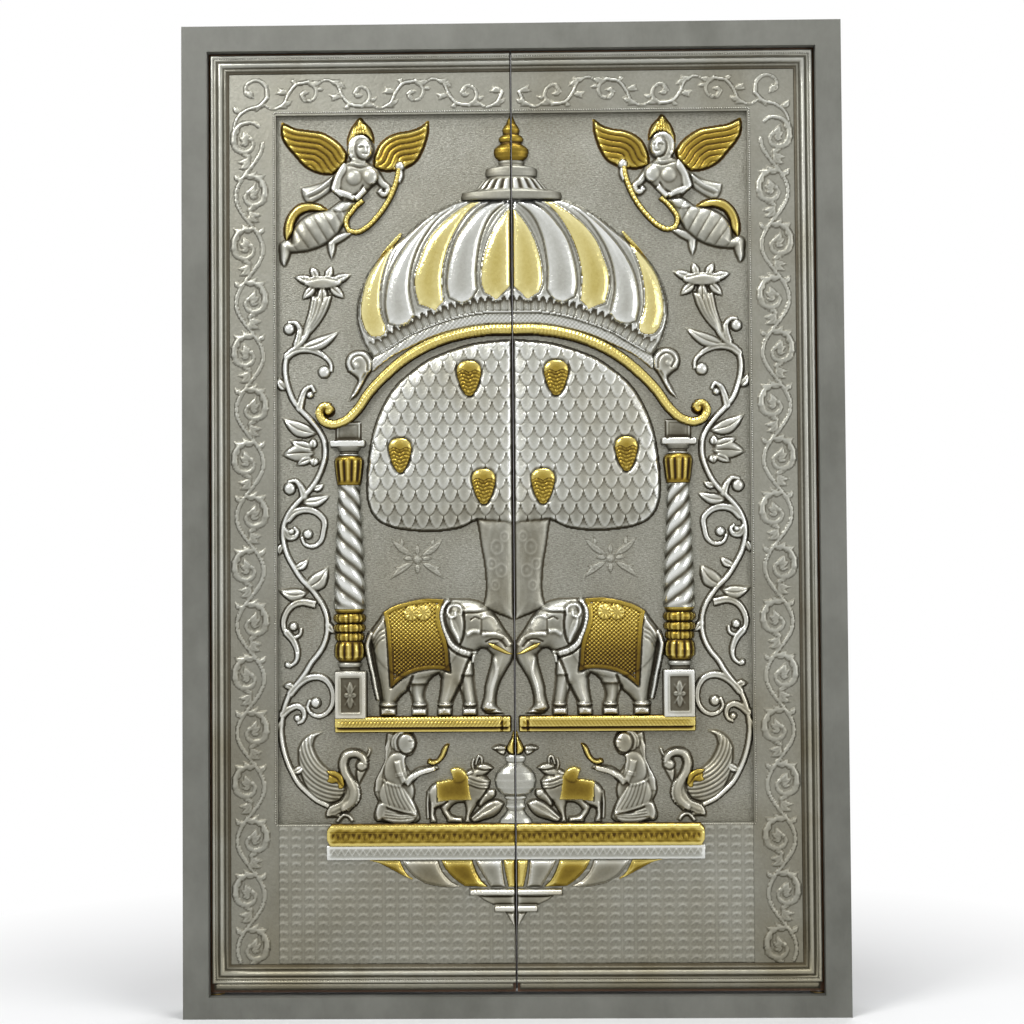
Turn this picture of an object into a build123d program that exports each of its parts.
"""Carved temple door: two pivoted leaves faced with embossed sheet and relief, in their frame.

Millimetres. +Z is up, +X right and -Y the face side. The origin is the middle of the frame's underside.
Relief is drawn for one leaf as (out, up): out from the meeting line, up from the leaf's foot. Each leaf
places it on its own side.
"""

import math
import os

from build123d import *

# Leaf, as seen from the face side
LEAF_WIDTH = 713.0
LEAF_HEIGHT = 2211.0
LEAF_THICKNESS = 44.0
MEETING_GAP = 5.0
MOULDING_WIDTH = 44.0
FOOT_PLAIN = 22.0
MOULDING_HEIGHT = 15.0
MOULDING_RIM = 9.0
MOULDING_FLUTE_DEPTH = 4.0
MOULDING_BEAD = (14.0, 30.0)
MOULDING_STEP_WIDTH = 38.0
MOULDING_STEP_HEIGHT = 8.0
MOULDING_EDGE_HEIGHT = 3.0
BORDER_WIDTH = 109.0
TOP_BORDER = 97.0
FOOT_FIELD_TOP = 391.0
RECESS_DEPTH = 15.0
SHEET = 1.2

# Woodwork of the leaf
MEETING_STILE_WIDTH = 88.0
MEETING_GAP_BEHIND = 0.3
MIDDLE_RAIL_HEIGHT = 120.0
MIDDLE_RAIL_UP = 1180.0
PANEL_THICKNESS = 18.0
TONGUE_THICKNESS = 8.0
TONGUE_LENGTH = 10.0
TONGUE_PLAY = 2.0

# Frame
FRAME_DEPTH = 120.0
JAMB_FACE = 60.0
HEAD_FACE = 60.0
SILL_HEIGHT = 50.0
LIP_THICKNESS = 28.5
LIP_SHADOW = 5.0
LIP_OVERLAP = 12.0
LIP_CLEARANCE = 1.5
HEEL_CLEARANCE = 3.0
HEAD_CLEARANCE = 5.0
FOOT_CLEARANCE = 6.0
FIXING_RADIUS = 6.0
FIXING_INSET = 30.0
FIXING_FIRST = 250.0
FIXING_PITCH = 600.0
FIXING_COUNT = 4

# Pivots
PIN_RADIUS = 10.0
PIN_IN_LEAF = 70.0
PIN_IN_FRAME = 28.0
COLLAR_RADIUS = 17.0
COLLAR_THICKNESS = 3.0
RUNNING_CLEARANCE = 0.06
SEAT_CLEARANCE = 0.1
BUSH_WALL = 5.0
BUSH_HEIGHT = 30.0
BUSH_FLANGE_RADIUS = 20.0
BUSH_FLANGE = 2.0

# Bolts on the back
ROD_RADIUS = 7.0
ROD_STANDOFF = 13.0
ROD_LENGTH = 420.0
LATCH_LENGTH = 300.0
BOLT_TRAVEL = 30.0
BOLT_FROM_MEETING = 45.0
STAPLE_WIDTH = 40.0
STAPLE_HEIGHT = 22.0
STAPLE_PLATE = 3.0
STAPLE_WALL = 4.0
ROD_CLEARANCE = 0.4
KNOB_RADIUS = 6.0
KNOB_LENGTH = 18.0
KEEPER_THICKNESS = 2.0

# Relief heights above the surface that carries each piece
DOME_PLATE = 8.0
GORE_HEIGHTS = (24.0, 22.0, 18.0, 13.0, 8.0)
FINIAL_DEPTH_SHARE = 0.85
FINIAL_FLATTENING = 60.0
ROPE_WIDTH = 25.0
ROPE_HEIGHT = 22.0
TREE_HEIGHT = 16.0
TRUNK_HEIGHT = 12.0
COLUMN_OUT = 389.0
COLUMN_ABACUS_DEPTH = 37.0
COLUMN_IMPOST_DEPTH = 14.0
COLUMN_PEDESTAL_DEPTH = 34.0
COLUMN_PANEL_DEPTH = 3.0
ELEPHANT_HEIGHT = 24.0
CLOTH_HEIGHT = 4.0
LEDGE_HEIGHT = 30.0
FIGURE_HEIGHT = 22.0
WING_HEIGHT = 10.0
VINE_HEIGHT = 14.0
STEM_WIDTH = 13.0
SWAN_HEIGHT = 14.0
ALTAR_FIGURE_HEIGHT = 16.0
SHELF_HEIGHT = 22.0
SHELF_TOP = 390.0
SHELF_FOOT = 343.0
SHELF_OUT = 430.0
SHELF_END_BULGE = 1.6
SHELF_GROOVE = (355.0, 372.0)
SHELF_GROOVE_DEPTH = 3.0
SHELF_BAND_FOOT = 310.0
SHELF_BAND_OUT = 445.0
SHELF_BAND_SETBACK = 8.0
LOTUS_SETBACK = 6.0
LOTUS_SEAM_DEPTH = 3.0

# Places that follow from the sizes above
FRONT = -FRAME_DEPTH / 2
BACK = FRAME_DEPTH / 2
LIP_BACK = FRONT + LIP_THICKNESS
LEAF_FRONT = LIP_BACK + LIP_CLEARANCE
LEAF_BACK = LEAF_FRONT + LEAF_THICKNESS
HEEL_RADIUS = LEAF_THICKNESS / 2
PIVOT_Y = (LEAF_FRONT + LEAF_BACK) / 2
CORE_OUT = LEAF_WIDTH + LIP_SHADOW + LIP_OVERLAP
PIVOT_OUT = CORE_OUT - HEEL_RADIUS
LIP_OUT = LEAF_WIDTH + LIP_SHADOW
REBATE_OUT = CORE_OUT + HEEL_CLEARANCE
FRAME_OUT = LIP_OUT + JAMB_FACE
FOOT = SILL_HEIGHT + FOOT_CLEARANCE
CORE_UP = LEAF_HEIGHT + LIP_SHADOW + LIP_OVERLAP
LIP_TOP = FOOT + LEAF_HEIGHT + LIP_SHADOW
REBATE_TOP = FOOT + CORE_UP + HEAD_CLEARANCE
FRAME_TOP = LIP_TOP + HEAD_FACE
MEETING = MEETING_GAP / 2
RECESS_OUT = LEAF_WIDTH - MOULDING_WIDTH - BORDER_WIDTH
RECESS_TOP = LEAF_HEIGHT - MOULDING_WIDTH - TOP_BORDER
FIELD_OUT = LEAF_WIDTH - MOULDING_WIDTH
FIELD_TOP = LEAF_HEIGHT - MOULDING_WIDTH
FIELD_FOOT = FOOT_PLAIN + MOULDING_WIDTH
PANEL_FRONT = LEAF_FRONT + RECESS_DEPTH
GROUND = PANEL_FRONT - SHEET
BORDER = LEAF_FRONT - SHEET
LEDGE_UP = FOOT_FIELD_TOP + SHEET
STILE_OUT = MEETING + MEETING_STILE_WIDTH
TONGUE_FRONT = PANEL_FRONT + (PANEL_THICKNESS - TONGUE_THICKNESS) / 2
ROD_Y = LEAF_BACK + ROD_STANDOFF

SIDES = {"left": -1, "right": 1}


def front_plane(y):
    """Plane parallel to the leaf, facing the face side: local x is world X, local y world Z."""
    return Plane(origin=(0, y, 0), x_dir=(1, 0, 0), z_dir=(0, -1, 0))


def place(points, side):
    """World x and z of points given as (out, up) on one leaf."""
    return [(side * out, FOOT + up) for out, up in points]


def directions(points):
    """Direction of a smooth run at each point: that of the circle through it and its neighbours."""
    steps = [end - start for start, end in zip(points, points[1:])]
    inner = [
        (before.normalized() * after.length + after.normalized() * before.length).normalized()
        for before, after in zip(steps, steps[1:])
    ]
    first, last = steps[0].normalized(), steps[-1].normalized()
    return [
        first * (2 * first.dot(inner[0])) - inner[0],
        *inner,
        last * (2 * last.dot(inner[-1])) - inner[-1],
    ]


def bend(start, heading, end):
    """Arc that leaves its start along the heading, or a line where the two agree. Returns its last heading."""
    chord = (end - start).normalized()
    if abs(chord.cross(heading).Z) < 1e-3:
        Line(start, end)
    else:
        TangentArc(start, end, tangent=heading)
    return chord * (2 * chord.dot(heading)) - heading


def smooth(points):
    """Tangent arcs through the points, two between each pair."""
    points = [Vector(*point) for point in points]
    headings = directions(points)
    for start, end, leave, arrive in zip(points, points[1:], headings, headings[1:]):
        chord = end - start
        along = chord.dot(leave + arrive)
        spread = 2 * (1 - leave.dot(arrive))
        if spread < 1e-6:
            reach = chord.dot(chord) / (2 * along)
        else:
            reach = (math.sqrt(along * along + spread * chord.dot(chord)) - along) / spread
        middle = (start + end + (leave - arrive) * reach) * 0.5
        bend(middle, bend(start, leave, middle), end)


def draw(runs, side):
    """Lines of one leaf, end to end: a run of two points is straight, a longer one is curved."""
    for run in runs:
        points = place(run, side)
        if len(points) == 2:
            Line(*points)
        else:
            smooth(points)


def ribbon(run, width, side, end_width=None):
    """Band along a smooth run of one leaf, square at its ends, added to the open sketch."""
    points = [Vector(*point) for point in place(run, side)]
    last = len(points) - 1
    halves = [(width + ((end_width or width) - width) * number / last) / 2 for number in range(last + 1)]
    normals = [Vector(-heading.Y, heading.X) for heading in directions(points)]
    near = [point + normal * half for point, normal, half in zip(points, normals, halves)]
    far = [point - normal * half for point, normal, half in zip(points, normals, halves)]
    with BuildLine() as edge:
        smooth([(point.X, point.Y) for point in near])
        Line(near[-1], far[-1])
        smooth([(point.X, point.Y) for point in reversed(far)])
        Line(far[0], near[0])
    make_face(edge.edges())


def block(outs, ys, ups, side):
    """Box between two outs, two ys and two ups of one leaf, added to the open part."""
    with Locations((side * sum(outs) / 2, sum(ys) / 2, FOOT + sum(ups) / 2)):
        Box(abs(outs[1] - outs[0]), abs(ys[1] - ys[0]), abs(ups[1] - ups[0]))


def cut(outs, ys, ups, side):
    """The same box, cut out of the open part."""
    with Locations((side * sum(outs) / 2, sum(ys) / 2, FOOT + sum(ups) / 2)):
        Box(abs(outs[1] - outs[0]), abs(ys[1] - ys[0]), abs(ups[1] - ups[0]), mode=Mode.SUBTRACT)


def stand(x, y, low, high, radius, mode=Mode.ADD):
    """Upright cylinder between two heights."""
    with Locations((x, y, (low + high) / 2)):
        Cylinder(radius, high - low, mode=mode)


def lie(x0, x1, y, z, radius, mode=Mode.ADD):
    """Level cylinder along X between two places."""
    with Locations(Location(((x0 + x1) / 2, y, z), (0, 90, 0))):
        Cylinder(radius, abs(x1 - x0), mode=mode)


def raised(outlines, seat, height, side):
    """Closed outlines of one leaf, joined and raised from the surface that carries them."""
    with BuildPart() as piece:
        with BuildSketch(front_plane(seat)):
            for runs in outlines:
                with BuildLine():
                    draw(runs, side)
                make_face()
        extrude(amount=height)
    return piece


def save(piece, name):
    """Label a finished piece and write it."""
    piece.part.label = name
    export_step(piece.part, f"parts/{name}.step")


# Frame

def build_jamb(side):
    """Upright of the frame: a lip in front of the leaf's edge and a rebate behind it."""
    fixings = [FIXING_FIRST + FIXING_PITCH * step for step in range(FIXING_COUNT)]
    with BuildPart() as jamb:
        with BuildSketch(Plane.XY.offset(SILL_HEIGHT)):
            with BuildLine():
                Polyline(
                    (side * LIP_OUT, FRONT),
                    (side * FRAME_OUT, FRONT),
                    (side * FRAME_OUT, BACK),
                    (side * REBATE_OUT, BACK),
                    (side * REBATE_OUT, LIP_BACK),
                    (side * LIP_OUT, LIP_BACK),
                    close=True,
                )
            make_face()
        extrude(amount=REBATE_TOP - SILL_HEIGHT)
        cut((LIP_OUT, FRAME_OUT), (FRONT, LIP_BACK), (LIP_TOP - FOOT, REBATE_TOP - FOOT), side)
        for height in fixings:
            lie(
                side * REBATE_OUT, side * FRAME_OUT, BACK - FIXING_INSET, height,
                FIXING_RADIUS, Mode.SUBTRACT,
            )
    return jamb


def build_head():
    """Top member of the frame, with bores for the bushes and the upper bolt."""
    with BuildPart() as head:
        with BuildSketch(Plane.YZ.offset(-FRAME_OUT)):
            with BuildLine():
                Polyline(
                    (FRONT, LIP_TOP),
                    (LIP_BACK, LIP_TOP),
                    (LIP_BACK, REBATE_TOP),
                    (BACK, REBATE_TOP),
                    (BACK, FRAME_TOP),
                    (FRONT, FRAME_TOP),
                    close=True,
                )
            make_face()
        extrude(amount=2 * FRAME_OUT)
        for side in SIDES.values():
            stand(
                side * PIVOT_OUT, PIVOT_Y, REBATE_TOP, REBATE_TOP + BUSH_HEIGHT,
                PIN_RADIUS + BUSH_WALL + RUNNING_CLEARANCE, Mode.SUBTRACT,
            )
        stand(
            -BOLT_FROM_MEETING, ROD_Y, REBATE_TOP, REBATE_TOP + BOLT_TRAVEL,
            ROD_RADIUS + ROD_CLEARANCE, Mode.SUBTRACT,
        )
    return head


def build_threshold():
    """Sill under both jambs, with bores for the sockets and the lower bolt."""
    with BuildPart() as threshold:
        with BuildSketch():
            Rectangle(2 * FRAME_OUT, FRAME_DEPTH)
        extrude(amount=SILL_HEIGHT)
        for side in SIDES.values():
            stand(
                side * PIVOT_OUT, PIVOT_Y, SILL_HEIGHT - BUSH_HEIGHT, SILL_HEIGHT,
                PIN_RADIUS + BUSH_WALL + RUNNING_CLEARANCE, Mode.SUBTRACT,
            )
        stand(
            -BOLT_FROM_MEETING, ROD_Y, SILL_HEIGHT - BOLT_TRAVEL, SILL_HEIGHT,
            ROD_RADIUS + ROD_CLEARANCE, Mode.SUBTRACT,
        )
    return threshold


def build_bushes(mouth, inward):
    """Two flanged bushes with a floor, open at the mouth: inward is +1 up into the head, -1 down."""
    with BuildPart() as bushes:
        with BuildSketch(Plane.XZ):
            with BuildLine():
                Polyline(
                    (PIN_RADIUS + RUNNING_CLEARANCE, mouth - inward * BUSH_FLANGE),
                    (BUSH_FLANGE_RADIUS, mouth - inward * BUSH_FLANGE),
                    (BUSH_FLANGE_RADIUS, mouth),
                    (PIN_RADIUS + BUSH_WALL, mouth),
                    (PIN_RADIUS + BUSH_WALL, mouth + inward * BUSH_HEIGHT),
                    (0, mouth + inward * BUSH_HEIGHT),
                    (0, mouth + inward * (PIN_IN_FRAME + SEAT_CLEARANCE)),
                    (PIN_RADIUS + RUNNING_CLEARANCE, mouth + inward * (PIN_IN_FRAME + SEAT_CLEARANCE)),
                    close=True,
                )
            make_face()
        bush = revolve(axis=Axis.Z, mode=Mode.PRIVATE)
        with Locations(*[(side * PIVOT_OUT, PIVOT_Y, 0) for side in SIDES.values()]):
            add(bush)
    return bushes


def build_bolt_keepers():
    """Plates round the bolt holes, on the head's rebate and on the sill."""
    with BuildPart() as keepers:
        for low, high in (
            (REBATE_TOP - KEEPER_THICKNESS, REBATE_TOP),
            (SILL_HEIGHT, SILL_HEIGHT + KEEPER_THICKNESS),
        ):
            with Locations((-BOLT_FROM_MEETING, ROD_Y, (low + high) / 2)):
                Box(STAPLE_WIDTH, STAPLE_HEIGHT, high - low)
            stand(-BOLT_FROM_MEETING, ROD_Y, low, high, ROD_RADIUS + ROD_CLEARANCE, Mode.SUBTRACT)
    return keepers


# Woodwork of a leaf

def build_hanging_stile(side):
    """Outer stile: its heel is round about the pivot, its inner edge is grooved for the panels."""
    with BuildPart() as stile:
        with BuildSketch(Plane.XY.offset(FOOT)):
            with Locations((side * (RECESS_OUT + PIVOT_OUT) / 2, PIVOT_Y)):
                Rectangle(PIVOT_OUT - RECESS_OUT, LEAF_THICKNESS)
            with Locations((side * PIVOT_OUT, PIVOT_Y)):
                Circle(HEEL_RADIUS)
        extrude(amount=CORE_UP)
        cut(
            (RECESS_OUT, RECESS_OUT + TONGUE_LENGTH + TONGUE_PLAY),
            (TONGUE_FRONT, TONGUE_FRONT + TONGUE_THICKNESS),
            groove_ups(),
            side,
        )
        for low, high in (
            (FOOT, FOOT + PIN_IN_LEAF),
            (FOOT + CORE_UP - PIN_IN_LEAF, FOOT + CORE_UP),
        ):
            stand(
                side * PIVOT_OUT, PIVOT_Y, low, high, PIN_RADIUS + RUNNING_CLEARANCE, Mode.SUBTRACT
            )
    return stile


def build_meeting_stile(side):
    """Inner stile, full height, thinner behind the recess so that the relief reaches its edge.

    Behind the pivot its edge slants to the other leaf, which swings clear of it, and closes the gap to sight.
    """
    with BuildPart() as stile:
        with BuildSketch(Plane.XY.offset(FOOT)):
            with BuildLine():
                Polyline(
                    (side * STILE_OUT, LEAF_FRONT),
                    (side * MEETING, LEAF_FRONT),
                    (side * MEETING, PIVOT_Y),
                    (side * MEETING_GAP_BEHIND / 2, LEAF_BACK),
                    (side * STILE_OUT, LEAF_BACK),
                    close=True,
                )
            make_face()
        extrude(amount=CORE_UP)
        cut((0, STILE_OUT), (LEAF_FRONT, PANEL_FRONT), (FOOT_FIELD_TOP, RECESS_TOP), side)
        cut(
            (STILE_OUT - TONGUE_LENGTH - TONGUE_PLAY, STILE_OUT),
            (TONGUE_FRONT, TONGUE_FRONT + TONGUE_THICKNESS),
            groove_ups(),
            side,
        )
    return stile


def groove_ups():
    """Lower and upper end of the groove in a stile, past the corners of the panels' tongues."""
    groove = TONGUE_LENGTH + TONGUE_PLAY
    return (FOOT_FIELD_TOP - groove, RECESS_TOP + groove)


def middle_rail_ups():
    """Lower and upper edge of the middle rail."""
    return (MIDDLE_RAIL_UP - MIDDLE_RAIL_HEIGHT / 2, MIDDLE_RAIL_UP + MIDDLE_RAIL_HEIGHT / 2)


def build_rails(side):
    """Bottom, middle and top rail between the stiles, grooved where they face a panel."""
    low, high = middle_rail_ups()
    groove = TONGUE_LENGTH + TONGUE_PLAY
    tongue = (TONGUE_FRONT, TONGUE_FRONT + TONGUE_THICKNESS)
    outs = (STILE_OUT, RECESS_OUT)
    with BuildPart() as rails:
        block(outs, (LEAF_FRONT, LEAF_BACK), (0, FOOT_FIELD_TOP), side)
        block(outs, (PANEL_FRONT, LEAF_BACK), (low, high), side)
        block(outs, (LEAF_FRONT, LEAF_BACK), (RECESS_TOP, CORE_UP), side)
        cut(outs, tongue, (FOOT_FIELD_TOP - groove, FOOT_FIELD_TOP), side)
        cut(outs, tongue, (low, low + groove), side)
        cut(outs, tongue, (high - groove, high), side)
        cut(outs, tongue, (RECESS_TOP, RECESS_TOP + groove), side)
    return rails


def build_panels(side):
    """Lower and upper panel, held by a tongue all round."""
    low, high = middle_rail_ups()
    with BuildPart() as panels:
        for bottom, top in ((FOOT_FIELD_TOP, low), (high, RECESS_TOP)):
            block((STILE_OUT, RECESS_OUT), (PANEL_FRONT, PANEL_FRONT + PANEL_THICKNESS), (bottom, top), side)
            block(
                (STILE_OUT - TONGUE_LENGTH, RECESS_OUT + TONGUE_LENGTH),
                (TONGUE_FRONT, TONGUE_FRONT + TONGUE_THICKNESS),
                (bottom - TONGUE_LENGTH, top + TONGUE_LENGTH),
                side,
            )
    return panels


def build_pivot_pins(side):
    """Lower and upper pin, each with a collar that stands in the gap to the frame."""
    x = side * PIVOT_OUT
    top = FOOT + CORE_UP
    with BuildPart() as pins:
        stand(x, PIVOT_Y, SILL_HEIGHT - PIN_IN_FRAME, FOOT + PIN_IN_LEAF, PIN_RADIUS)
        stand(x, PIVOT_Y, FOOT - COLLAR_THICKNESS, FOOT, COLLAR_RADIUS)
        stand(x, PIVOT_Y, top - PIN_IN_LEAF, REBATE_TOP + PIN_IN_FRAME, PIN_RADIUS)
    return pins


# Sheets and moulding of a leaf

def build_border_sheet(side):
    """Sheet up the hanging side and across the top, turned back into the recess."""
    with BuildPart() as sheet:
        block((RECESS_OUT - SHEET, FIELD_OUT), (BORDER, LEAF_FRONT), (FIELD_FOOT, FIELD_TOP), side)
        block((MEETING, FIELD_OUT), (BORDER, LEAF_FRONT), (RECESS_TOP - SHEET, FIELD_TOP), side)
        block((RECESS_OUT - SHEET, RECESS_OUT), (BORDER, PANEL_FRONT), (LEDGE_UP, RECESS_TOP), side)
        block((MEETING, RECESS_OUT), (BORDER, PANEL_FRONT), (RECESS_TOP - SHEET, RECESS_TOP), side)
    return sheet


def build_ground_sheet(side):
    """Sheet over the stile, rail and panels at the bottom of the recess."""
    with BuildPart() as sheet:
        block(
            (MEETING, RECESS_OUT - SHEET), (GROUND, PANEL_FRONT), (LEDGE_UP, RECESS_TOP - SHEET), side
        )
    return sheet


def build_foot_sheet(side):
    """Sheet over the bottom rail, turned back over its upper edge."""
    with BuildPart() as sheet:
        block((MEETING, RECESS_OUT - SHEET), (BORDER, LEAF_FRONT), (FIELD_FOOT, LEDGE_UP), side)
        block((MEETING, RECESS_OUT - SHEET), (BORDER, PANEL_FRONT), (FOOT_FIELD_TOP, LEDGE_UP), side)
    return sheet


def build_moulding(side):
    """Ribbed moulding round three edges, mitred at the corners, over a plain strip at the foot."""
    strip = MOULDING_HEIGHT - MOULDING_FLUTE_DEPTH
    near, far = MOULDING_BEAD
    with BuildPart() as moulding:
        with BuildLine() as path:
            Polyline(
                (side * MEETING, LEAF_FRONT, FOOT + FOOT_PLAIN),
                (side * LEAF_WIDTH, LEAF_FRONT, FOOT + FOOT_PLAIN),
                (side * LEAF_WIDTH, LEAF_FRONT, FOOT + LEAF_HEIGHT),
                (side * MEETING, LEAF_FRONT, FOOT + LEAF_HEIGHT),
            )
        start = Plane(
            origin=(side * MEETING, LEAF_FRONT, FOOT + FOOT_PLAIN), x_dir=(0, 0, 1), z_dir=(side, 0, 0)
        )
        rim, flute = -start.y_dir.Y * MOULDING_HEIGHT, -start.y_dir.Y * strip
        edge, step = -start.y_dir.Y * MOULDING_EDGE_HEIGHT, -start.y_dir.Y * MOULDING_STEP_HEIGHT
        with BuildSketch(start):
            with BuildLine():
                Polyline(
                    (near, flute),
                    (MOULDING_RIM, flute),
                    (MOULDING_RIM, rim),
                    (0, rim),
                    (0, 0),
                    (MOULDING_WIDTH, 0),
                    (MOULDING_WIDTH, edge),
                    (MOULDING_STEP_WIDTH, step),
                    (far, step),
                )
                ThreePointArc((far, step), ((near + far) / 2, rim), (near, flute))
            make_face()
        sweep(path=path.line, transition=Transition.RIGHT)
        block((MEETING, LEAF_WIDTH), (LEAF_FRONT - strip, LEAF_FRONT), (0, FOOT_PLAIN), side)
    return moulding


# Dome, finial and arch

DOME_SIDE = [
    (120, 1862), (200, 1822), (280, 1755), (335, 1700), (364, 1625), (362, 1560), (328, 1493),
]
BAND_LOWER = [(300, 1482), (240, 1518), (120, 1556), (MEETING, 1569)]


def dome_half_width(up):
    """Half width of the dome at a height, read between the points of its side."""
    for (out0, up0), (out1, up1) in zip(DOME_SIDE, DOME_SIDE[1:]):
        if up1 <= up <= up0:
            return out0 + (out1 - out0) * (up0 - up) / (up0 - up1)
    return DOME_SIDE[0][0]


def gore_outline(middle, foot_up):
    """One gore: leaf-shaped between two meridians, its edges closer together towards the top."""
    half_angle = 7.2
    shares = ((0.0, 0.0), (0.05, 0.75), (0.3, 1.0), (0.62, 0.95), (0.86, 0.6), (1.0, 0.0))
    top_up = DOME_SIDE[0][1] - 6
    left, right = [], []
    for height, width in shares:
        up = foot_up + (top_up - foot_up) * height
        reach = dome_half_width(up)
        for edge, turn in ((left, -1), (right, 1)):
            angle = math.radians(middle + turn * half_angle * width)
            edge.append((max(MEETING, reach * math.sin(angle)), up))
    return left, right


def build_dome(side, arch):
    """Half dome: a plate with gores raised on it, highest at the middle, and a volute at its shoulder."""
    with BuildPart() as dome:
        with BuildSketch(front_plane(GROUND)):
            with BuildLine():
                draw(
                    [
                        [(MEETING, DOME_SIDE[0][1]), DOME_SIDE[0]],
                        DOME_SIDE,
                        [DOME_SIDE[-1], BAND_LOWER[0]],
                        BAND_LOWER,
                        [BAND_LOWER[-1], (MEETING, DOME_SIDE[0][1])],
                    ],
                    side,
                )
            make_face()
        extrude(amount=DOME_PLATE)
        for number, height in enumerate(GORE_HEIGHTS):
            foot_up = 1624 - 5.2 * number * number
            left, right = gore_outline(16.4 * number, foot_up)
            if number == 0:
                runs = [
                    [(MEETING, foot_up), *right[1:-1], (MEETING, right[-1][1])],
                    [(MEETING, right[-1][1]), (MEETING, foot_up)],
                ]
            else:
                runs = [left, right]
            with BuildSketch(front_plane(GROUND - DOME_PLATE)):
                with BuildLine():
                    draw(runs, side)
                make_face()
            extrude(amount=height)
        with BuildSketch(front_plane(GROUND)):
            ribbon([(332, 1484), (352, 1503), (380, 1496), (390, 1470), (374, 1454), (358, 1466)], 14, side)
            ribbon([(352, 1462), (366, 1428), (383, 1398)], 9, side)
        extrude(amount=DOME_PLATE)
        add(arch.part, mode=Mode.SUBTRACT)
    return dome


FINIAL_SIDE = [
    (1, 2066), (16, 2040), (20, 2022), (28, 2000), (42, 1985), (40, 1974), (30, 1958), (30, 1940),
    (60, 1940), (60, 1918), (56, 1914), (75, 1895), (90, 1882), (118, 1882), (118, 1862),
]


def build_finial(side):
    """Half of a turned finial, flattened: a tip and bulb on a fluted collar and a disc."""
    with BuildPart() as finial:
        for (out0, up0), (out1, up1) in zip(FINIAL_SIDE, FINIAL_SIDE[1:]):
            if up0 == up1:
                continue
            for out, up in ((out1, up1), (out0, up0)):
                with BuildSketch(Plane.XY.offset(FOOT + up)):
                    with Locations((0, GROUND)):
                        Ellipse(out, FINIAL_DEPTH_SHARE * out / (1 + out / FINIAL_FLATTENING))
            loft(ruled=True)
        cut((-FINIAL_SIDE[-1][0], MEETING), (GROUND - 100, GROUND + 100), (1800, 2100), side)
        cut((0, FINIAL_SIDE[-1][0]), (GROUND, GROUND + 100), (1800, 2100), side)
    return finial


ROPE_LINE = [
    (MEETING, 1556), (120, 1546), (240, 1497), (330, 1420), (375, 1362), (412, 1336), (448, 1336),
    (458, 1362), (440, 1376),
]


def build_arch(side):
    """Rope arch over the tree, curled up at its springing, with a ball in the curl."""
    with BuildPart() as arch:
        with BuildSketch(front_plane(GROUND)):
            ribbon(ROPE_LINE, ROPE_WIDTH, side)
            with Locations(*place([ROPE_LINE[-1]], side)):
                Circle(ROPE_WIDTH * 0.6)
            trim_to_leaf(side)
        extrude(amount=ROPE_HEIGHT)
    return arch


def trim_to_leaf(side):
    """Cut the open sketch back to its own leaf."""
    width = RECESS_OUT - SHEET - MEETING
    with Locations((side * (MEETING + width / 2), FOOT + LEAF_HEIGHT / 2)):
        Rectangle(width, LEAF_HEIGHT, mode=Mode.INTERSECT)


# Tree

CROWN = [
    (MEETING, 1530), (100, 1520), (200, 1482), (280, 1420), (325, 1335), (345, 1220), (338, 1130),
    (290, 1090), (200, 1081), (110, 1088), (82, 1098),
]
TRUNK_SIDE = [(82, 1098), (75, 1040), (66, 970), (66, 920), (80, 880)]
FRUITS = [(103, 1439), (267, 1258), (72, 1183)]


def build_tree(side, elephant):
    """Half crown with its fruits, and the trunk down to the elephant."""
    with BuildPart() as tree:
        with BuildSketch(front_plane(GROUND)):
            with BuildLine():
                draw([CROWN, [CROWN[-1], (MEETING, 1098)], [(MEETING, 1098), CROWN[0]]], side)
            make_face()
        extrude(amount=TREE_HEIGHT)
        with BuildSketch(front_plane(GROUND)):
            with BuildLine():
                draw(
                    [
                        [(MEETING, 1110), (TRUNK_SIDE[0][0], 1110)],
                        [(TRUNK_SIDE[0][0], 1110), TRUNK_SIDE[0]],
                        TRUNK_SIDE,
                        [TRUNK_SIDE[-1], (MEETING, 880)],
                        [(MEETING, 880), (MEETING, 1110)],
                    ],
                    side,
                )
            make_face()
        extrude(amount=TRUNK_HEIGHT)
        with BuildSketch(front_plane(GROUND - TREE_HEIGHT)):
            with Locations(*place(FRUITS, side)):
                Ellipse(29, 42)
        extrude(amount=5)
        add(elephant.part, mode=Mode.SUBTRACT)
    return tree


# Column

COLUMN_SIDE = [
    (0, 748), (28, 748), (26, 772), (36, 790), (31, 822), (38, 842), (38, 885), (35, 898), (24, 1190),
    (32, 1225), (26, 1262), (26, 1280), (0, 1280),
]
ABACUS = (352, 433), (1280, 1293)
IMPOST = (362, 418), (1293, 1345)
PEDESTAL = (352, 422), (640, 748)
PEDESTAL_PANEL = (363, 410), (652, 735)


def build_column(side, arch):
    """Half-round column: pedestal with a sunk panel, turned shaft, abacus and impost block."""
    x = side * COLUMN_OUT
    panel_floor = GROUND - COLUMN_PEDESTAL_DEPTH + COLUMN_PANEL_DEPTH
    with BuildPart() as column:
        with BuildSketch(Plane(origin=(x, GROUND, FOOT), x_dir=(1, 0, 0), z_dir=(0, -1, 0))):
            with BuildLine():
                Polyline(*COLUMN_SIDE, close=True)
            make_face()
        revolve(axis=Axis((x, GROUND, FOOT), (0, 0, 1)))
        for (outs, ups), depth in (
            (ABACUS, COLUMN_ABACUS_DEPTH), (IMPOST, COLUMN_IMPOST_DEPTH), (PEDESTAL, COLUMN_PEDESTAL_DEPTH),
        ):
            block(outs, (GROUND - depth, GROUND), ups, side)
        outs, ups = PEDESTAL_PANEL
        cut(outs, (GROUND - COLUMN_PEDESTAL_DEPTH, panel_floor), ups, side)
        cut((0, LEAF_WIDTH), (GROUND, BACK), (0, LEAF_HEIGHT), side)
        add(arch.part, mode=Mode.SUBTRACT)
    return column


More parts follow.
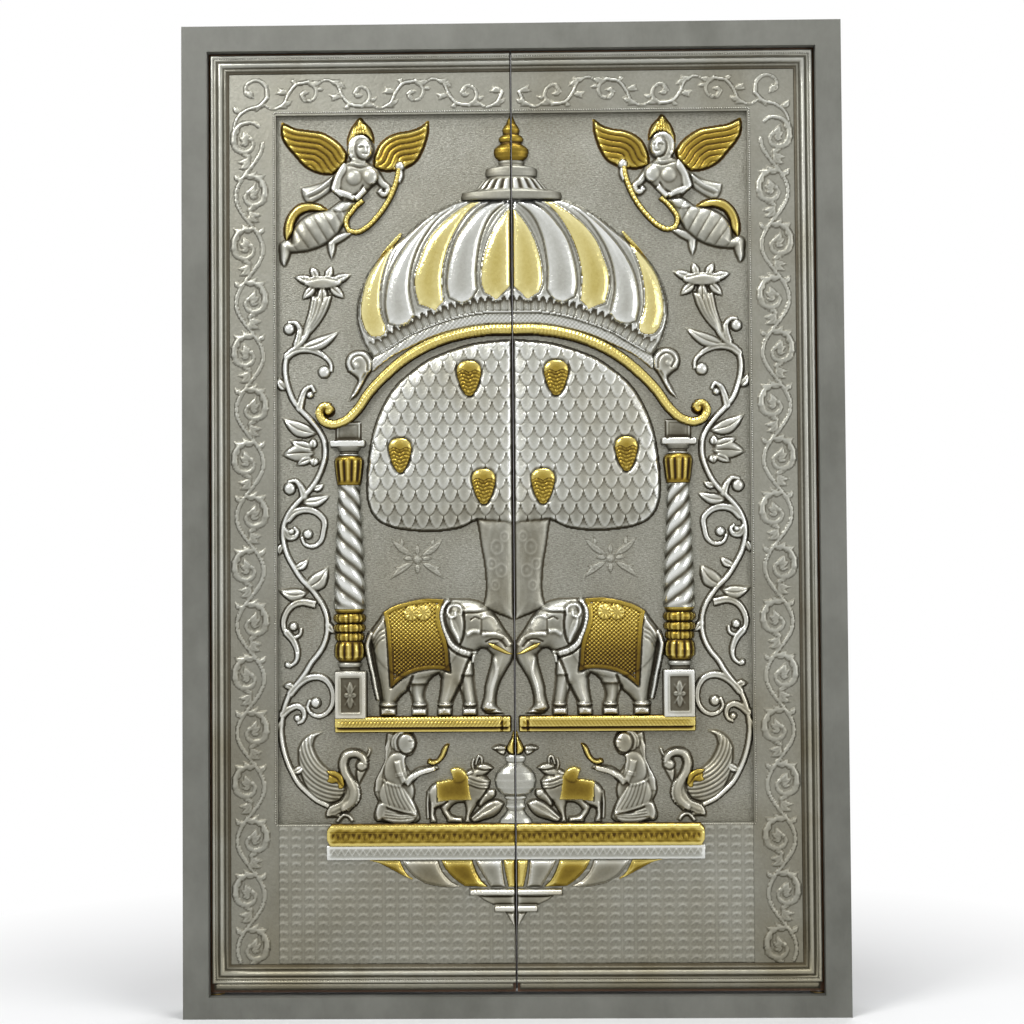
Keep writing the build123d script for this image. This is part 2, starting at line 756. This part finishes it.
# Elephant, its cloth and the ledge

def build_elephant(side):
    """Elephant facing the meeting line, with its trunk curled at the tip, and its far tusk side plain."""
    body = [
        [(8, 825), (38, 868), (75, 907), (115, 917), (165, 917)],
        [(165, 917), (210, 920), (270, 908), (320, 868), (345, 825)],
        [(345, 825), (340, 780), (323, 680)],
        [(323, 680), (313, 700)],
        [(313, 700), (318, 640)],
        [(318, 640), (280, 640)],
        [(280, 640), (279, 680), (256, 712)],
        [(256, 712), (240, 680), (243, 640)],
        [(243, 640), (207, 640)],
        [(207, 640), (205, 690), (225, 728)],
        [(225, 728), (200, 737), (172, 745)],
        [(172, 745), (178, 700), (182, 640)],
        [(182, 640), (148, 640)],
        [(148, 640), (146, 680), (134, 720)],
        [(134, 720), (124, 690), (122, 640)],
        [(122, 640), (88, 640)],
        [(88, 640), (90, 700), (98, 790)],
        [(98, 790), (70, 800), (50, 785)],
        [(50, 785), (66, 715), (78, 652)],
        [(78, 652), (50, 642), (28, 652)],
        [(28, 652), (44, 672), (42, 705), (16, 760), (4, 790), (8, 825)],
    ]
    return raised([body], GROUND, ELEPHANT_HEIGHT, side)


def build_elephant_cloth(side):
    """Saddle cloth over the elephant's back, hanging in a curve at its foot."""
    cloth = [
        [(166, 912), (210, 915), (250, 909), (303, 884)],
        [(303, 884), (299, 830), (290, 712)],
        [(290, 712), (265, 736), (225, 751), (152, 749)],
        [(152, 749), (158, 815), (175, 870), (166, 912)],
    ]
    return raised([cloth], GROUND - ELEPHANT_HEIGHT, CLOTH_HEIGHT, side)


def build_ledge(side):
    """Ledge under the elephant and the column, in two bands, the upper one standing out."""
    with BuildPart() as ledge:
        block((12, 423), (GROUND - LEDGE_HEIGHT, GROUND), (618, 640), side)
        block((12, 421), (GROUND - LEDGE_HEIGHT + 5, GROUND), (608, 618), side)
    return ledge


# Flying figure and wings

def build_flying_figure(side):
    """Winged figure in flight: head, chest, arms, garland, scarf and a long folded skirt to the feet."""
    skirt = [
        [(352, 1880), (400, 1868), (480, 1828), (528, 1768)],
        [(528, 1768), (548, 1770), (548, 1714), (540, 1712), (524, 1744)],
        [(524, 1744), (470, 1750), (420, 1780), (390, 1850), (352, 1880)],
    ]
    with BuildPart() as figure:
        with BuildSketch(front_plane(GROUND)):
            with BuildLine():
                draw(skirt, side)
            make_face()
            with Locations(*place([(355, 1992)], side)):
                Ellipse(27, 32)
            with Locations(*place([(362, 2030)], side)):
                Ellipse(20, 28)
            with Locations(*place([(360, 1915)], side)):
                Ellipse(42, 52)
            for limb, width in (
                ([(398, 1940), (420, 1905), (372, 1872)], 20),
                ([(322, 1928), (296, 1890), (266, 1942)], 17),
                ([(268, 1936), (290, 1868), (345, 1804), (386, 1806), (356, 1864)], 11),
                ([(404, 1930), (450, 1900), (492, 1882)], 30),
                ([(400, 1800), (420, 1770), (427, 1736)], 16),
            ):
                ribbon(limb, width, side)
            trim_to_leaf(side)
        extrude(amount=FIGURE_HEIGHT)
    return figure


def build_wings(side, figure):
    """Spread wings and the back scarf, fitted round the figure."""
    near = [
        [(196, 2052), (245, 2032), (290, 2015), (330, 1945)],
        [(330, 1945), (278, 1938), (222, 1966), (196, 2052)],
    ]
    far = [
        [(388, 1975), (425, 2015), (480, 2033), (545, 2052)],
        [(545, 2052), (535, 2005), (495, 1957), (425, 1930)],
        [(425, 1930), (388, 1975)],
    ]
    scarf = [
        [(446, 1850), (480, 1866), (515, 1852), (539, 1812), (536, 1775)],
        [(536, 1775), (510, 1812), (446, 1850)],
    ]
    with BuildPart() as wings:
        with BuildSketch(front_plane(GROUND)):
            for runs in (near, far, scarf):
                with BuildLine():
                    draw(runs, side)
                make_face()
            trim_to_leaf(side)
        extrude(amount=WING_HEIGHT)
        add(figure.part, mode=Mode.SUBTRACT)
    return wings


# Vine and swan

MAIN_STEM = [
    (470, 448), (510, 485), (542, 560), (546, 650), (500, 735), (446, 830), (468, 930), (530, 1015),
    (540, 1095), (478, 1180), (446, 1270), (482, 1345), (534, 1425), (534, 1490), (484, 1560), (454, 1650),
]
SCROLLS = [
    ([(530, 695), (488, 733), (440, 720), (430, 670), (462, 643), (484, 668)], (470, 675), 13),
    ([(545, 650), (515, 668), (498, 648), (510, 628)], (510, 632), 9),
    ([(470, 905), (520, 906), (546, 866), (524, 831), (504, 845)], (515, 850), 10),
    ([(536, 1110), (490, 1132), (450, 1098), (460, 1050), (500, 1058)], (498, 1066), 12),
    ([(490, 1165), (505, 1195), (530, 1190)], (528, 1182), 13),
    ([(532, 1500), (478, 1510), (434, 1484), (440, 1455)], (447, 1458), 14),
    ([(500, 1535), (510, 1572), (530, 1568)], (529, 1562), 13),
]
LEAVES = [
    [[(455, 950), (442, 975), (458, 1000), (488, 990)], [(488, 990), (478, 955), (455, 950)]],
    [[(500, 955), (530, 958), (554, 942)], [(554, 942), (520, 920), (500, 955)]],
    [[(440, 1162), (470, 1180), (500, 1150)], [(500, 1150), (465, 1150), (440, 1162)]],
    [[(448, 1248), (500, 1240), (545, 1264)], [(545, 1264), (505, 1296), (452, 1300)], [(452, 1300), (448, 1248)]],
    [[(460, 1310), (500, 1345), (542, 1348)], [(542, 1348), (515, 1318), (460, 1310)]],
    [[(412, 1555), (450, 1530), (505, 1516)], [(505, 1516), (470, 1545), (412, 1555)]],
]
FLOWER_CENTRE = (450, 1670)
FLOWER_TIPS = [(382, 1690), (428, 1710), (478, 1708), (518, 1685), (498, 1633), (398, 1633)]


def build_vine(side, swan, column):
    """Vine from the swan's tail up to an open flower, with scrolls, balls and leaves."""
    with BuildPart() as vine:
        with BuildSketch(front_plane(GROUND)):
            ribbon(MAIN_STEM, STEM_WIDTH, side)
            for line, ball, radius in SCROLLS:
                ribbon(line, STEM_WIDTH, side, STEM_WIDTH * 0.6)
                with Locations(*place([ball], side)):
                    Circle(radius)
            for runs in LEAVES:
                with BuildLine():
                    draw(runs, side)
                make_face()
            for tip in FLOWER_TIPS:
                with BuildLine():
                    Polyline(*place([(FLOWER_CENTRE[0] - 18, FLOWER_CENTRE[1]), tip,
                                     (FLOWER_CENTRE[0] + 18, FLOWER_CENTRE[1])], side), close=True)
                make_face()
            with Locations(*place([FLOWER_CENTRE], side)):
                Ellipse(44, 15)
            trim_to_leaf(side)
        extrude(amount=VINE_HEIGHT)
        add(swan.part, mode=Mode.SUBTRACT)
        add(column.part, mode=Mode.SUBTRACT)
    return vine


def build_swan(side):
    """Swan at the foot of the vine: bent neck, raised wing and two feet on the ledge."""
    wing = [
        [(402, 488), (440, 515), (470, 590), (512, 563)],
        [(512, 563), (500, 490), (450, 443), (402, 418)],
        [(402, 418), (380, 440), (402, 488)],
    ]
    with BuildPart() as swan:
        with BuildSketch(front_plane(GROUND)):
            with BuildLine():
                draw(wing, side)
            make_face()
            ribbon([(362, 540), (388, 546), (400, 520), (380, 474), (384, 440), (410, 430)], 16, side, 24)
            with Locations(*place([(362, 528)], side)):
                Circle(14)
            with BuildLine():
                Polyline(*place([(352, 520), (368, 485), (374, 520)], side), close=True)
            make_face()
            with BuildLine():
                Polyline(*place([(398, 425), (388, LEDGE_UP), (446, LEDGE_UP), (420, 425)], side), close=True)
            make_face()
        extrude(amount=SWAN_HEIGHT)
    return swan


# Altar group, shelf and lotus drop

def build_altar_figures(side):
    """Half pot with its flame, a cone, a bull with a cloth and a kneeling devotee with a lamp."""
    pot = [
        [(MEETING, 602), (12, 582), (19, 564)],
        [(19, 564), (36, 574), (51, 566), (24, 550)],
        [(24, 550), (24, 533)],
        [(24, 533), (48, 505), (46, 472), (25, 455)],
        [(25, 455), (22, 430)],
        [(22, 430), (26, 408), (40, LEDGE_UP)],
        [(40, LEDGE_UP), (MEETING, LEDGE_UP)],
        [(MEETING, LEDGE_UP), (MEETING, 602)],
    ]
    cone = [[(25, 430), (48, 447), (108, 400)], [(108, 400), (60, 400), (25, 430)]]
    bull = [
        [(54, 528), (70, 534), (78, 548), (92, 530), (104, 542), (118, 508)],
        [(118, 508), (135, 521), (150, 494), (185, 488), (208, 460)],
        [(208, 460), (200, LEDGE_UP)],
        [(200, LEDGE_UP), (184, LEDGE_UP)],
        [(184, LEDGE_UP), (172, 440)],
        [(172, 440), (160, LEDGE_UP)],
        [(160, LEDGE_UP), (144, LEDGE_UP)],
        [(144, LEDGE_UP), (140, 442)],
        [(140, 442), (116, 440)],
        [(116, 440), (112, LEDGE_UP)],
        [(112, LEDGE_UP), (96, LEDGE_UP)],
        [(96, LEDGE_UP), (94, 440)],
        [(94, 440), (76, 438), (52, 464)],
        [(52, 464), (66, 480), (82, 504)],
        [(82, 504), (56, 514)],
        [(56, 514), (54, 528)],
    ]
    devotee = [
        [(237, 596), (262, 604), (300, 602)],
        [(300, 602), (303, 545), (326, 480), (306, 436)],
        [(306, 436), (330, 424), (326, LEDGE_UP)],
        [(326, LEDGE_UP), (235, LEDGE_UP)],
        [(235, LEDGE_UP), (228, 420), (256, 470), (262, 530), (240, 560), (237, 596)],
    ]
    with BuildPart() as figures:
        with BuildSketch(front_plane(GROUND)):
            for runs in (pot, cone, bull, devotee):
                with BuildLine():
                    draw(runs, side)
                make_face()
            for arm, width in (
                ([(262, 512), (228, 508), (182, 523)], 15),
                ([(182, 530), (172, 552), (157, 578)], 13),
            ):
                ribbon(arm, width, side)
        extrude(amount=ALTAR_FIGURE_HEIGHT)
    return figures


def build_altar_shelf(side):
    """Shelf under the figures, round at its outer end, with a sunk band for the triangles."""
    front = BORDER - SHELF_HEIGHT
    bulge = side * SHELF_END_BULGE * (SHELF_TOP - SHELF_FOOT) / 2
    with BuildPart() as shelf:
        with BuildSketch(front_plane(BORDER)):
            with BuildLine():
                top, foot = (SHELF_OUT, SHELF_TOP), (SHELF_OUT, SHELF_FOOT)
                Polyline(*place([top, (MEETING, SHELF_TOP), (MEETING, SHELF_FOOT), foot], side))
                RadiusArc(*place([foot, top], side), bulge, short_sagitta=True)
            make_face()
        extrude(amount=SHELF_HEIGHT)
        cut((MEETING, SHELF_OUT), (front, front + SHELF_GROOVE_DEPTH), SHELF_GROOVE, side)
        block(
            (MEETING, SHELF_BAND_OUT), (front + SHELF_BAND_SETBACK, BORDER), (SHELF_BAND_FOOT, SHELF_FOOT), side
        )
    return shelf


def build_lotus_drop(side):
    """Half lotus bowl under the shelf, with a rope ring, a cone, a ring and a pointed drop."""
    depth = SHELF_HEIGHT - LOTUS_SETBACK
    bowl = [
        [(MEETING, 310), (355, 310)],
        [(355, 310), (300, 290), (230, 255), (150, 243), (MEETING, 242)],
        [(MEETING, 242), (MEETING, 310)],
    ]
    lower = [
        [(MEETING, 242), (108, 242)],
        [(108, 242), (104, 225)],
        [(104, 225), (86, 225)],
        [(86, 225), (72, 212), (52, 204)],
        [(52, 204), (48, 185)],
        [(48, 185), (26, 183)],
        [(26, 183), (14, 168), (MEETING, 148)],
        [(MEETING, 148), (MEETING, 242)],
    ]
    seams = [(18, 30), (62, 98), (122, 180), (210, 270)]
    with BuildPart() as lotus:
        with BuildSketch(front_plane(BORDER)):
            for runs in (bowl, lower):
                with BuildLine():
                    draw(runs, side)
                make_face()
        extrude(amount=depth)
        for low_out, high_out in seams:
            with BuildSketch(front_plane(BORDER - depth)):
                with BuildLine():
                    Polyline(*place([(low_out - 2, 240), (low_out + 2, 240), (high_out + 2, 311),
                                     (high_out - 2, 311)], side), close=True)
                make_face()
            extrude(amount=-LOTUS_SEAM_DEPTH, mode=Mode.SUBTRACT)
    return lotus


# Bolts on the back

def staple_block(x, z, along_x):
    """One staple: a foot plate on the leaf and a solid block that is then bored for its rod."""
    wide, tall = (STAPLE_HEIGHT, STAPLE_WIDTH) if along_x else (STAPLE_WIDTH, STAPLE_HEIGHT)
    with Locations((x, LEAF_BACK + STAPLE_PLATE / 2, z)):
        Box(wide, STAPLE_PLATE, tall)
    reach = ROD_STANDOFF + ROD_RADIUS + STAPLE_WALL
    body = 2 * (ROD_RADIUS + STAPLE_WALL)
    with Locations((x, LEAF_BACK + reach / 2, z)):
        Box(STAPLE_HEIGHT if along_x else body, reach, body if along_x else STAPLE_HEIGHT)


def upper_rod_ends():
    """Heights of the upper bolt's tip and tail, drawn back."""
    tip = FOOT + CORE_UP - KEEPER_THICKNESS
    return tip, tip - ROD_LENGTH


def lower_rod_ends():
    """Heights of the lower bolt's tip and tail, drawn back."""
    tip = FOOT + KEEPER_THICKNESS
    return tip, tip + ROD_LENGTH


def latch_up():
    """Height of the latch bolt, on the middle rail."""
    return FOOT + MIDDLE_RAIL_UP


def build_left_staples():
    """Staples of both tower bolts and the latch bolt's keeper, on the left leaf."""
    with BuildPart() as staples:
        x = -BOLT_FROM_MEETING
        for tip, tail in (upper_rod_ends(), lower_rod_ends()):
            inward = 1 if tail > tip else -1
            for height in (tip + inward * 60, tail - inward * 60):
                staple_block(x, height, False)
                stand(
                    x, ROD_Y, height - STAPLE_HEIGHT, height + STAPLE_HEIGHT,
                    ROD_RADIUS + ROD_CLEARANCE, Mode.SUBTRACT,
                )
        keeper = -BOLT_FROM_MEETING / 2 - STAPLE_HEIGHT / 2
        staple_block(keeper, latch_up(), True)
        lie(
            keeper - STAPLE_HEIGHT, keeper + STAPLE_HEIGHT, ROD_Y, latch_up(),
            ROD_RADIUS + ROD_CLEARANCE, Mode.SUBTRACT,
        )
    return staples


def build_right_staples():
    """Staples of the latch bolt, on the right leaf."""
    with BuildPart() as staples:
        for x in (MEETING + 40, MEETING + LATCH_LENGTH - 60):
            staple_block(x, latch_up(), True)
            lie(
                x - STAPLE_HEIGHT, x + STAPLE_HEIGHT, ROD_Y, latch_up(),
                ROD_RADIUS + ROD_CLEARANCE, Mode.SUBTRACT,
            )
    return staples


def build_tower_bolt(ends):
    """Upright rod with a knob half way."""
    low, high = sorted(ends)
    with BuildPart() as bolt:
        stand(-BOLT_FROM_MEETING, ROD_Y, low, high, ROD_RADIUS)
        with Locations(Location((-BOLT_FROM_MEETING, ROD_Y + KNOB_LENGTH / 2, (low + high) / 2), (90, 0, 0))):
            Cylinder(KNOB_RADIUS, KNOB_LENGTH)
    return bolt


def build_latch_bolt():
    """Level rod with a knob half way, drawn back from the meeting line."""
    low, high = MEETING + 6, MEETING + 6 + LATCH_LENGTH
    with BuildPart() as bolt:
        lie(low, high, ROD_Y, latch_up(), ROD_RADIUS)
        with Locations(Location(((low + high) / 2, ROD_Y + KNOB_LENGTH / 2, latch_up()), (90, 0, 0))):
            Cylinder(KNOB_RADIUS, KNOB_LENGTH)
    return bolt


def build_leaf(name, side):
    """All pieces of one leaf."""
    save(build_hanging_stile(side), f"{name}_hanging_stile")
    save(build_meeting_stile(side), f"{name}_meeting_stile")
    save(build_rails(side), f"{name}_rails")
    save(build_panels(side), f"{name}_panels")
    save(build_pivot_pins(side), f"{name}_pivot_pins")
    save(build_border_sheet(side), f"{name}_border_sheet")
    save(build_ground_sheet(side), f"{name}_ground_sheet")
    save(build_foot_sheet(side), f"{name}_foot_sheet")
    save(build_moulding(side), f"{name}_moulding")
    arch = build_arch(side)
    save(arch, f"{name}_arch")
    save(build_dome(side, arch), f"{name}_dome")
    save(build_finial(side), f"{name}_finial")
    column = build_column(side, arch)
    save(column, f"{name}_column")
    elephant = build_elephant(side)
    save(elephant, f"{name}_elephant")
    save(build_tree(side, elephant), f"{name}_tree")
    save(build_elephant_cloth(side), f"{name}_elephant_cloth")
    save(build_ledge(side), f"{name}_ledge")
    figure = build_flying_figure(side)
    save(figure, f"{name}_flying_figure")
    save(build_wings(side, figure), f"{name}_wings")
    swan = build_swan(side)
    save(swan, f"{name}_swan")
    save(build_vine(side, swan, column), f"{name}_vine")
    save(build_altar_figures(side), f"{name}_altar_figures")
    save(build_altar_shelf(side), f"{name}_altar_shelf")
    save(build_lotus_drop(side), f"{name}_lotus_drop")


def build_door():
    """The whole door in its frame."""
    os.makedirs("parts", exist_ok=True)
    for name, side in SIDES.items():
        save(build_jamb(side), f"{name}_jamb")
        build_leaf(name, side)
    save(build_head(), "head")
    save(build_threshold(), "threshold")
    save(build_bushes(REBATE_TOP, 1), "pivot_bushes")
    save(build_bushes(SILL_HEIGHT, -1), "floor_sockets")
    save(build_bolt_keepers(), "bolt_keepers")
    save(build_left_staples(), "left_bolt_staples")
    save(build_right_staples(), "right_bolt_staples")
    save(build_tower_bolt(upper_rod_ends()), "upper_bolt")
    save(build_tower_bolt(lower_rod_ends()), "lower_bolt")
    save(build_latch_bolt(), "latch_bolt")


build_door()
